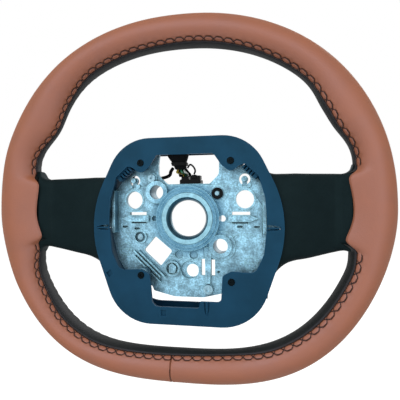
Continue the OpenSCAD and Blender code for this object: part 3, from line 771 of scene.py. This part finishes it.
def casting_material(base, boss_shade):
    """Pressure die-cast aluminium, shot-blasted: a satin pitted skin, with painted shade in its corners, on
    its walls and round the boss, and painted highlights on its edges.
    """
    material, tree, shader = new_material("blasted_die_casting", {"Metallic": 0.75, "Roughness": 0.42})
    place, _, skin = mottle(tree, shader, base, 8 * MM, 0.62, 1.22, 8.0)
    # The pits are drawn 1.5 mm coarse, because real ones of about 0.4 mm would not show
    grit = add_node(
        tree,
        "ShaderNodeTexNoise",
        {"Scale": per_metre(1.5 * MM), "Detail": 3.0, "Vector": place.outputs["Object"]},
    )
    sparkle = add_node(tree, "ShaderNodeValToRGB", {"Fac": grit.outputs["Fac"]})
    pit, peak = sparkle.color_ramp.elements
    pit.position, peak.position = 0.35, 0.68
    pit.color, peak.color = (0.5, 0.5, 0.5, 1), (1.3, 1.3, 1.3, 1)
    speckled = add_node(
        tree,
        "ShaderNodeMixRGB",
        {"blend_type": "MULTIPLY", "Fac": 0.7, "Color1": skin, "Color2": sparkle.outputs["Color"]},
    )
    # Painted shade: corners that ambient occlusion finds are darkened towards an eighth of the base colour
    corner = add_node(tree, "ShaderNodeAmbientOcclusion", {"samples": 8, "Distance": 12 * MM})
    painted_corner_shade = add_node(
        tree,
        "ShaderNodeMapRange",
        {"Value": corner.outputs["AO"], "From Min": 0.3, "From Max": 0.85, "To Min": 0.1, "To Max": 1.0},
    )
    corner_shaded = add_node(
        tree,
        "ShaderNodeMixRGB",
        {
            "Fac": painted_corner_shade.outputs["Result"],
            "Color1": shaded(base, 0.12),
            "Color2": speckled.outputs["Color"],
        },
    )
    # Painted shade: walls that run front to back are darkened towards a fifth of the base colour
    walls = add_node(
        tree,
        "ShaderNodeMixRGB",
        {"Fac": steep_mask(tree, place, 0.7), "Color1": corner_shaded.outputs["Color"], "Color2": shaded(base, 0.2)},
    )
    # Painted shade: within 30 mm of the axis the colour is darkened towards the boss shade colour, fading out
    # by 40 mm
    flat = add_node(
        tree,
        "ShaderNodeVectorMath",
        {"operation": "MULTIPLY", 0: place.outputs["Object"], 1: (1, 0, 1)},
    )
    reach = add_node(tree, "ShaderNodeVectorMath", {"operation": "LENGTH", 0: flat.outputs["Vector"]})
    shadowed = add_node(
        tree,
        "ShaderNodeMapRange",
        {
            "Value": reach.outputs["Value"],
            "From Min": 30 * MM,
            "From Max": 40 * MM,
            "To Min": 0.7,
            "To Max": 0.0,
        },
    )
    boss_shaded = add_node(
        tree,
        "ShaderNodeMixRGB",
        {"Fac": shadowed.outputs["Result"], "Color1": walls.outputs["Color"], "Color2": boss_shade},
    )
    # Painted highlight: edges are lightened to 1.6 times the base colour
    add_node(
        tree,
        "ShaderNodeMixRGB",
        {
            "Fac": edge_mask(tree, 0.5 * MM),
            "Color1": boss_shaded.outputs["Color"],
            "Color2": shaded(base, 1.6),
        },
        {"Color": shader.inputs["Base Color"]},
    )
    add_node(
        tree,
        "ShaderNodeBump",
        {"Strength": 0.6, "Distance": 0.35 * MM, "Height": grit.outputs["Fac"]},
        {"Normal": shader.inputs["Normal"]},
    )
    return material


def turned_material(name, base, rough):
    """Turned steel: tool marks that draw the light into rings, and painted shade on the wall of the bore."""
    material, tree, shader = new_material(name, {"Metallic": 1.0, "Roughness": rough})
    place, _, cut = mottle(tree, shader, base, 5 * MM, 0.85, 1.15)
    # Painted shade: walls that run front to back, the bore's among them, are darkened towards a tenth of the
    # base colour
    add_node(
        tree,
        "ShaderNodeMixRGB",
        {"Fac": steep_mask(tree, place, 0.85), "Color1": cut, "Color2": shaded(base, 0.1)},
        {"Color": shader.inputs["Base Color"]},
    )
    # The marks are drawn 1.3 mm apart, 0.314 of this size, because real ones 0.2 mm apart would not show
    marks = add_node(
        tree,
        "ShaderNodeTexWave",
        {
            "wave_type": "RINGS",
            "rings_direction": "Y",
            "Scale": per_metre(4.2 * MM),
            "Distortion": 0.6,
            "Vector": place.outputs["Object"],
        },
    )
    add_node(
        tree,
        "ShaderNodeBump",
        {"Strength": 0.5, "Distance": 0.06 * MM, "Height": marks.outputs["Fac"]},
        {"Normal": shader.inputs["Normal"]},
    )
    return material


def uneven_material(name, settings, base, size, dark, light, depth):
    """A plain finish with a slight unevenness of one size in its colour and its surface."""
    material, tree, shader = new_material(name, settings)
    _, patches, _ = mottle(tree, shader, base, size, dark, light)
    add_node(
        tree,
        "ShaderNodeBump",
        {"Strength": 0.5, "Distance": depth, "Height": patches},
        {"Normal": shader.inputs["Normal"]},
    )
    return material


def plated_material(name, base, rough):
    """Zinc-plated steel, or steel darkened to near black as painted shade: a metal skin with a slight mottle
    from the bath.
    """
    return uneven_material(
        name, {"Metallic": 1.0, "Roughness": rough}, base, 2 * MM, 0.75, 1.2, 0.05 * MM
    )


def plastic_material(name, base, rough, level=0.4):
    """Moulded nylon, rubber or insulation: close and slightly uneven, with a soft sheen."""
    settings = {"Roughness": rough, "IOR": 1.5, "Specular IOR Level": level}
    return uneven_material(name, settings, base, 3 * MM, 0.85, 1.15, 0.06 * MM)


def tape_material(base):
    """Woven cloth loom tape: crossed threads that leave it matt and black."""
    material, tree, shader = new_material(
        "cloth_loom_tape", {"Roughness": 0.75, "IOR": 1.5, "Specular IOR Level": 0.08}
    )
    place, _, _ = mottle(tree, shader, base, 4 * MM, 0.7, 1.5)
    # The threads are drawn 1.6 mm apart, 0.314 of this size, because real ones 0.5 mm apart would not show
    warp, weft = (
        add_node(
            tree,
            "ShaderNodeTexWave",
            {
                "bands_direction": direction,
                "Scale": per_metre(5 * MM),
                "Distortion": 0.4,
                "Vector": place.outputs["Object"],
            },
        )
        for direction in ("X", "Z")
    )
    weave = add_node(
        tree, "ShaderNodeMath", {"operation": "MULTIPLY", 0: warp.outputs["Fac"], 1: weft.outputs["Fac"]}
    )
    add_node(
        tree,
        "ShaderNodeBump",
        {"Strength": 1.0, "Distance": 0.2 * MM, "Height": weave.outputs["Value"]},
        {"Normal": shader.inputs["Normal"]},
    )
    return material


def dress(node_name, material, edge=0.0):
    """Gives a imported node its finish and, where it has an edge rounding, rounds its edges."""
    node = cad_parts[node_name]
    for material_slot in node.material_slots:
        material_slot.link = "OBJECT"
        material_slot.material = material
    if edge:
        weld = node.modifiers.new("weld", "WELD")
        weld.merge_threshold = 0.002 * MM
        rounding = node.modifiers.new("rounding", "BEVEL")
        rounding.width = edge
        rounding.segments = 2
        rounding.limit_method = "ANGLE"
        rounding.angle_limit = math.radians(35)
        rounding.harden_normals = True


# Pieces


class WHEEL_OT_outer_leather(bpy.types.Operator):
    """Wraps the outer leather round the rim, puffed between its stitches"""

    bl_idname = "wheel.outer_leather"
    bl_label = "Outer Leather"

    def execute(self, context):
        rim, leather = context.scene.wheel_rim, context.scene.wheel_leather
        closing = closing_angle(rim, leather)
        # Stations round the rim lie closer together at the closing seam
        even = np.arange(0, 360, 0.4)
        close = closing + np.arange(-1.6, 1.6, 0.08)
        stations = np.sort(np.concatenate([even[np.abs(even - closing) > 1.7], close]))[:, None]
        front, rear = front_seam(leather, stations) + 1, rear_seam(leather, stations) + 1
        # The section is finer over a band of 25 degrees beside each seam, where the stitches lie
        band, steps = 25, 20
        fine = np.linspace(0, band, steps, endpoint=False)[None, :]
        coarse = front + band + (360 - 2 * band - front - rear) * np.linspace(0, 1, 32)[None, :]
        outer = np.concatenate([front + fine, coarse, 360 - rear - fine[:, ::-1]], axis=1)
        inset = np.minimum(outer - front, 360 - rear - outer)
        lift = turned_in(inset, 0.75 * MM, 3.5) + 0.12 * MM * bump(inset - 4.5, 3)
        lift = lift + sum(seam.lift(stations, outer) for seam in seams(rim, leather))
        # The closing seam is a groove between two low rolls
        away = (stations - closing) * np.pi / 180 * rim.drop
        lift = lift - 0.75 * MM * bump(away, 0.5 * MM) + 0.2 * MM * bump(np.abs(away) - 1.5 * MM, 0.8 * MM)
        reach = flap_reach(rim, leather, stations)
        back = front + (360 - rear - front) * np.linspace(1, 0, 16)[None, :]
        skin = grip_point(rim, stations, outer, lift, reach)
        lining = grip_point(rim, stations, back, GLUE - leather.thickness, reach)
        rings = np.concatenate([skin, lining], axis=1)
        brown = leather_material("brown_nappa", leather.brown, 0.5, 1.0)
        ring_piece("outer_leather_cover", rings, True, brown, "brown_leather", ["outer_leather"])
        return {"FINISHED"}


class WHEEL_OT_inner_leather(bpy.types.Operator):
    """Lays the two black strips of leather along the inside of the rim"""

    bl_idname = "wheel.inner_leather"
    bl_label = "Inner Leather"

    def execute(self, context):
        rim, leather = context.scene.wheel_rim, context.scene.wheel_leather
        black = leather_material("black_nappa", leather.black, 0.5, 0.35)
        for name, (start, end) in STRIP_RUNS.items():
            stations = np.linspace(start, end, 320)[:, None]
            front, rear = front_seam(leather, stations) - 1, rear_seam(leather, stations) - 1
            t = -rear + (front + rear) * np.linspace(0, 1, 40)[None, :]
            lift = turned_in(np.minimum(front - t, t + rear), 0.7 * MM, 4)
            lift = lift + turned_in(np.minimum(stations - start, end - stations), 0.7 * MM, 0.6)
            reach = flap_reach(rim, leather, stations)
            skin = grip_point(rim, stations, t, lift, reach)
            lining = grip_point(rim, stations, t[:, ::-1], GLUE - leather.thickness, reach)
            rings = np.concatenate([skin, lining], axis=1)
            new_piece(
                f"inner_leather_{name}_strip",
                rings.reshape(-1, 3),
                strip_faces(*rings.shape[:2]),
                black,
                "black_leather",
                [f"inner_leather_{name}"],
            )
        return {"FINISHED"}


class WHEEL_OT_stitches(bpy.types.Operator):
    """Sews the cross stitches along the seams and the closing seam across the bottom"""

    bl_idname = "wheel.stitches"
    bl_label = "Stitches"

    def execute(self, context):
        rim, leather = context.scene.wheel_rim, context.scene.wheel_leather
        thread = thread_material(leather.thread)
        names = ("front_upper", "front_lower", "rear_upper", "rear_lower")
        for name, seam in zip(names, seams(rim, leather)):
            parts = [self.zigzag(rim, leather, seam, hand) for hand in (1, -1)]
            new_piece(f"cross_stitches_{name}", *join_parts(parts), thread, "loom_tape")
        closing = closing_angle(rim, leather)
        along = np.linspace(0, 1, 7)
        dip = -0.35 * MM - 0.5 * MM * (1 - np.sin(math.pi * along))
        # Each stitch of the closing seam takes 7.2 of the 8.6 degrees of section between two holes
        paths = [grip_point(rim, closing, t + along * 7.2, dip) for t in np.arange(82, 279, 8.6)]
        parts = [tube(path, leather.closing_radius) for path in paths]
        new_piece("closing_stitches", *join_parts(parts), thread, "loom_tape")
        return {"FINISHED"}

    def zigzag(self, rim, leather, seam, hand):
        """One of the two threads of a seam; over and under each other, and tucked in at both ends."""
        p = np.linspace(0, seam.cells, seam.cells * 12 + 1)
        a = np.interp(p, seam.p, seam.a)
        t = seam.middle(a) + seam.spread(a) * (hand * seam.wave(p))
        over = hand * np.cos(math.pi * p) * 0.5 * leather.thread_radius
        lift = 0.1 * MM + over + turned_in(np.minimum(p, seam.cells - p), 1.4 * MM, 0.25)
        path = grip_point(rim, a, seam.side * t, lift, flap_reach(rim, leather, a))
        return tube(path, leather.thread_radius)


def flare(x, start, run, height):
    """Rise of a spoke's edge that starts flat at a place and ends steep, a run further on."""
    return height * fillet((x - start) / run)


def spoke_outline(rim, spokes, hub, x, side):
    """Top edge, bottom edge, place ahead of the hub's rear and front half's thickness of a spoke at x."""
    root = rim.width / 2 - rim.grip_width - rim.spoke_swell + side * rim.spoke_swell_left
    hub_ahead = hub.flange_ahead - hub.flange_thickness - (hub.gap + spokes.depth / 2)
    top = spokes.top + spokes.rise * np.clip((root - x) / (45 * MM), 0, 1)
    top = top + flare(x - root, *RIM_FLARE_TOP) + flare(x, *HUB_FLARE_TOP)
    bottom = spokes.bottom - spokes.fall * ease((root - x) / (50 * MM))
    bottom = bottom - flare(x - root, *RIM_FLARE_BOTTOM) - flare(x, *HUB_FLARE_BOTTOM)
    ahead = rim.ahead - (rim.ahead - hub_ahead) * ease((root + 4 * MM - x) / (56 * MM))
    # The front thins in two steps, so that it dives under the cover's flap
    half = spokes.depth / 2 - 2.4 * MM * ease((x - root + 15 * MM) / (6 * MM))
    half = half - 6.5 * MM * ease((x - root + 2 * MM) / (4 * MM))
    return top, bottom, ahead, half


def spoke_rings(rim, spokes, hub, side):
    """Rounded sections of a spoke, from inside the rim to inside the hub."""
    x = np.concatenate([[158, 152], np.linspace(149, 69, 81)]) * MM
    turn = np.linspace(0, 2 * math.pi, 96, endpoint=False)
    flat, tall = (np.sign(wave) * np.abs(wave) ** 0.5 for wave in (np.cos(turn), np.sin(turn)))
    top, bottom, ahead, half = spoke_outline(rim, spokes, hub, x, side)
    y = -ahead[:, None] + flat * np.where(flat > 0, spokes.depth / 2, half[:, None])
    z = ((top + bottom) / 2)[:, None] + tall * ((top - bottom) / 2)[:, None]
    return np.stack([np.broadcast_to(side * x[:, None], y.shape), y, z], axis=-1)


def neighbours(corners, i):
    """Corner i of a closed outline between the ones before and after it."""
    return [np.array(corners[(i + step) % len(corners)][:2]) for step in (-1, 0, 1)]


def rounded_outline(corners, n=14):
    """Closed outline through corners of X, Z and radius."""
    points = []
    for i, corner in enumerate(corners):
        a, b, c = neighbours(corners, i)
        u, v = (a - b) / np.linalg.norm(a - b), (c - b) / np.linalg.norm(c - b)
        half = math.acos(float(u @ v)) / 2
        reach = min(corner[2] / math.tan(half), 0.48 * min(np.linalg.norm(a - b), np.linalg.norm(c - b)))
        r = reach * math.tan(half)
        mid = b + (u + v) / np.linalg.norm(u + v) * r / math.sin(half)
        p, q = b + u * reach - mid, b + v * reach - mid
        start = math.atan2(p[1], p[0])
        sweep = (math.atan2(q[1], q[0]) - start + math.pi) % (2 * math.pi) - math.pi
        for s in range(n + 1):
            t = start + sweep * s / n
            points.append(mid + r * np.array([math.cos(t), math.sin(t)]))
    return np.array(points)


def flange_corners(hub, out):
    """Corners of the shroud's flange, moved outward by a distance."""
    side = [
        (61 * MM, hub.flange_top, 42 * MM),
        (hub.flange_half + 8 * MM, -2 * MM, 98 * MM),
        (64.5 * MM, -hub.flange_drop, 44 * MM),
    ]
    corners = side + [(-x, z, r) for x, z, r in reversed(side)]
    moved = []
    for i, corner in enumerate(corners):
        a, b, c = neighbours(corners, i)
        u, v = (b - a) / np.linalg.norm(b - a), (c - b) / np.linalg.norm(c - b)
        nu, nv = np.array([-u[1], u[0]]), np.array([-v[1], v[0]])
        m = (nu + nv) / np.linalg.norm(nu + nv)
        moved.append((*(b + m * out / float(m @ nu)), corner[2] + out))
    return moved


class WHEEL_OT_foam_body(bpy.types.Operator):
    """Moulds the foam round the rim and the two spokes, trimmed round the shroud"""

    bl_idname = "wheel.foam_body"
    bl_label = "Foam Body"

    def execute(self, context):
        rim, spokes, hub = context.scene.wheel_rim, context.scene.wheel_spokes, context.scene.wheel_hub
        skin = foam_material(spokes.skin)
        outline = rounded_outline(flange_corners(hub, hub.gap - hub.lip))
        walls = [(x, -depth, z) for depth in (-5 * MM, hub.flange_ahead) for x, z in outline]
        cutter = new_piece("cutter", walls, ring_faces(2, len(outline), False), None, "foam_skin")
        for name, side in (("right", 1), ("left", -1)):
            rings = spoke_rings(rim, spokes, hub, side)
            piece = ring_piece(f"foam_spoke_{name}", rings, False, skin, "foam_skin", ["foam_body"])
            trim(context, piece, cutter)
        bpy.data.objects.remove(cutter)
        stations = np.arange(0, 360, 1.25)[:, None]
        sections = np.linspace(0, 360, 48, endpoint=False)[None, :]
        ring = grip_point(rim, stations, sections, -context.scene.wheel_leather.thickness)
        ring_piece("foam_rim", ring, True, skin, "foam_skin", ["foam_body"])
        return {"FINISHED"}


class WHEEL_OT_shroud(bpy.types.Operator):
    """Finishes the moulded shroud and its screws"""

    bl_idname = "wheel.shroud"
    bl_label = "Shroud"

    def execute(self, context):
        hub = context.scene.wheel_hub
        dress("hub_shroud", shroud_material(hub.shroud), hub.moulded_edge)
        # Painted shade: the screw heads are steel darkened to near black, standing for the shade of the
        # recesses they sit in
        hole_shaded = plated_material("hole_shade_steel", shaded(hub.steel, 0.02), 0.3)
        dress("shroud_screws", hole_shaded, hub.small_edge)
        return {"FINISHED"}


class WHEEL_OT_casting(bpy.types.Operator):
    """Finishes the hub casting and the turned bush in its middle"""

    bl_idname = "wheel.casting"
    bl_label = "Casting"

    def execute(self, context):
        hub = context.scene.wheel_hub
        dress("armature", casting_material(hub.casting, hub.boss_shade), hub.cast_edge)
        turn = np.linspace(0, 2 * math.pi, 180, endpoint=False)[:, None]
        radius, deep = np.array(BUSH_PROFILE).T * MM
        y = np.broadcast_to(deep - hub.boss_ahead, (len(turn), len(deep)))
        rings = np.stack([radius * np.cos(turn), y, radius * np.sin(turn)], axis=-1)
        steel = turned_material("turned_steel", hub.bush, 0.3)
        ring_piece("hub_bush_turned", rings, True, steel, "bush_steel", ["hub_bush"])
        return {"FINISHED"}


class WHEEL_OT_fittings(bpy.types.Operator):
    """Finishes the pins, the studs and the rubber ring on the casting"""

    bl_idname = "wheel.fittings"
    bl_label = "Fittings"

    def execute(self, context):
        hub = context.scene.wheel_hub
        plated = plated_material("zinc_plated_steel", hub.steel, 0.3)
        for node_name in ("contact_pin", "earth_stud", "locating_pin", "earth_screw"):
            dress(node_name, plated, hub.small_edge)
        rubber = plastic_material("vulcanised_rubber", hub.rubber, 0.6, 0.12)
        dress("rubber_ring", rubber, context.scene.wheel_wiring.moulded_edge)
        return {"FINISHED"}


class WHEEL_OT_wiring(bpy.types.Operator):
    """Finishes the loom, its wires and the connector"""

    bl_idname = "wheel.wiring"
    bl_label = "Wiring"

    def execute(self, context):
        wiring = context.scene.wheel_wiring
        tape = tape_material(wiring.tape)
        nylon = plastic_material("moulded_nylon", wiring.housing, 0.45, 0.1)
        dress("harness_sleeve", tape)
        dress("harness_branch", tape)
        dress("harness_tie", nylon)
        dress("connector_housing", nylon, wiring.moulded_edge)
        dress("connector_plug", nylon, wiring.moulded_edge)
        for name in ("yellow", "green", "white"):
            dress(f"wire_{name}", plastic_material(f"{name}_insulation", getattr(wiring, name), 0.35))
        dress("wire_loop", plastic_material("black_insulation", wiring.housing, 0.35, 0.15))
        return {"FINISHED"}


class WHEEL_OT_stage(bpy.types.Operator):
    """Sets up the pale studio: floor, soft lamps, world and camera"""

    bl_idname = "wheel.stage"
    bl_label = "Studio"

    def execute(self, context):
        scene, stage = context.scene, context.scene.wheel_stage
        scene.view_settings.view_transform = "Standard"
        self.world(scene)
        self.floor(stage)
        for name, (place, power) in LAMPS.items():
            self.lamp(name, place, power)
        camera = bpy.data.objects.new("camera", bpy.data.cameras.new("camera"))
        scene.collection.objects.link(camera)
        place = Matrix.Translation((stage.camera_x, -stage.camera_distance, stage.camera_z))
        level = Matrix.Rotation(stage.yaw, 4, "Z") @ Matrix.Rotation(math.radians(90) + stage.pitch, 4, "X")
        camera.matrix_world = place @ level @ Matrix.Rotation(stage.roll, 4, "Z")
        camera.data.lens, camera.data.sensor_width = stage.lens, SENSOR_WIDTH
        scene.camera = camera
        return {"FINISHED"}

    def seen_white(self, tree):
        """Mask of the rays that see the background as plain white."""
        path = add_node(tree, "ShaderNodeLightPath")
        either = add_node(
            tree,
            "ShaderNodeMath",
            {"operation": "MAXIMUM", 0: path.outputs["Is Camera Ray"], 1: path.outputs["Is Glossy Ray"]},
        )
        seen = add_node(
            tree,
            "ShaderNodeMath",
            {"operation": "MAXIMUM", 0: either.outputs["Value"], 1: path.outputs["Is Transmission Ray"]},
        )
        return seen.outputs["Value"]

    def world(self, scene):
        """White to the eye and in reflections, softer as a source of light."""
        scene.world = bpy.data.worlds.new("studio")
        scene.world.use_nodes = True
        tree = scene.world.node_tree
        background = tree.nodes["Background"]
        background.inputs["Color"].default_value = (1, 1, 1, 1)
        add_node(
            tree,
            "ShaderNodeMapRange",
            {"Value": self.seen_white(tree), "To Min": 0.5, "To Max": 1.0},
            {"Result": background.inputs["Strength"]},
        )

    def floor(self, stage):
        """A wide pale floor that shows white and keeps the wheel's shadow."""
        bpy.ops.mesh.primitive_plane_add(size=12, location=(0, 0, -stage.floor_drop))
        floor = bpy.context.object
        floor.name = "floor"
        paper = bpy.data.materials.new("paper")
        paper.use_nodes = True
        tree = paper.node_tree
        tree.nodes.clear()
        matt = add_node(tree, "ShaderNodeBsdfDiffuse", {"Color": shaded(stage.paper, 0.55)})
        strength = add_node(
            tree, "ShaderNodeMath", {"operation": "MULTIPLY", 0: self.seen_white(tree), 1: 0.8}
        )
        glow = add_node(tree, "ShaderNodeEmission", {"Strength": strength.outputs["Value"]})
        both = add_node(
            tree, "ShaderNodeAddShader", {0: matt.outputs["BSDF"], 1: glow.outputs["Emission"]}
        )
        add_node(tree, "ShaderNodeOutputMaterial", {"Surface": both.outputs["Shader"]})
        floor.data.materials.append(paper)

    def lamp(self, name, place, power):
        """A large square lamp that looks at the hub."""
        data = bpy.data.lights.new(name, "AREA")
        data.size, data.energy = LAMP_SIZE, power
        lamp = bpy.data.objects.new(name, data)
        bpy.context.scene.collection.objects.link(lamp)
        lamp.location = place
        lamp.rotation_euler = (-Vector(place)).to_track_quat("-Z", "Y").to_euler()


GROUPS = {
    "wheel_rim": WheelRim,
    "wheel_leather": WheelLeather,
    "wheel_spokes": WheelSpokes,
    "wheel_hub": WheelHub,
    "wheel_wiring": WheelWiring,
    "wheel_stage": WheelStage,
}
OPERATORS = (
    WHEEL_OT_outer_leather,
    WHEEL_OT_inner_leather,
    WHEEL_OT_stitches,
    WHEEL_OT_foam_body,
    WHEEL_OT_shroud,
    WHEEL_OT_casting,
    WHEEL_OT_fittings,
    WHEEL_OT_wiring,
    WHEEL_OT_stage,
)


class WHEEL_PT_panel(bpy.types.Panel):
    """Lists the wheel's pieces and their settings"""

    bl_idname = "WHEEL_PT_panel"
    bl_label = "Steering Wheel"
    bl_space_type = "VIEW_3D"
    bl_region_type = "UI"
    bl_category = "Wheel"

    def draw(self, context):
        for operator in OPERATORS:
            self.layout.operator(operator.bl_idname)
        for group, kind in GROUPS.items():
            box = self.layout.box()
            for prop in kind.__annotations__:
                box.prop(getattr(context.scene, group), prop)


def register():
    """Registers the settings, the operators and the panel."""
    for kind in (*GROUPS.values(), *OPERATORS, WHEEL_PT_panel):
        bpy.utils.register_class(kind)
    for group, kind in GROUPS.items():
        setattr(bpy.types.Scene, group, bpy.props.PointerProperty(type=kind))


def unregister():
    """Takes them all away again."""
    for group in GROUPS:
        delattr(bpy.types.Scene, group)
    for kind in (WHEEL_PT_panel, *reversed(OPERATORS), *reversed(GROUPS.values())):
        bpy.utils.unregister_class(kind)


def main():
    """Makes every piece in order."""
    register()
    bpy.ops.wheel.stage()
    bpy.ops.wheel.outer_leather()
    bpy.ops.wheel.inner_leather()
    bpy.ops.wheel.stitches()
    bpy.ops.wheel.foam_body()
    bpy.ops.wheel.shroud()
    bpy.ops.wheel.casting()
    bpy.ops.wheel.fittings()
    bpy.ops.wheel.wiring()


if __name__ == "__main__":
    main()
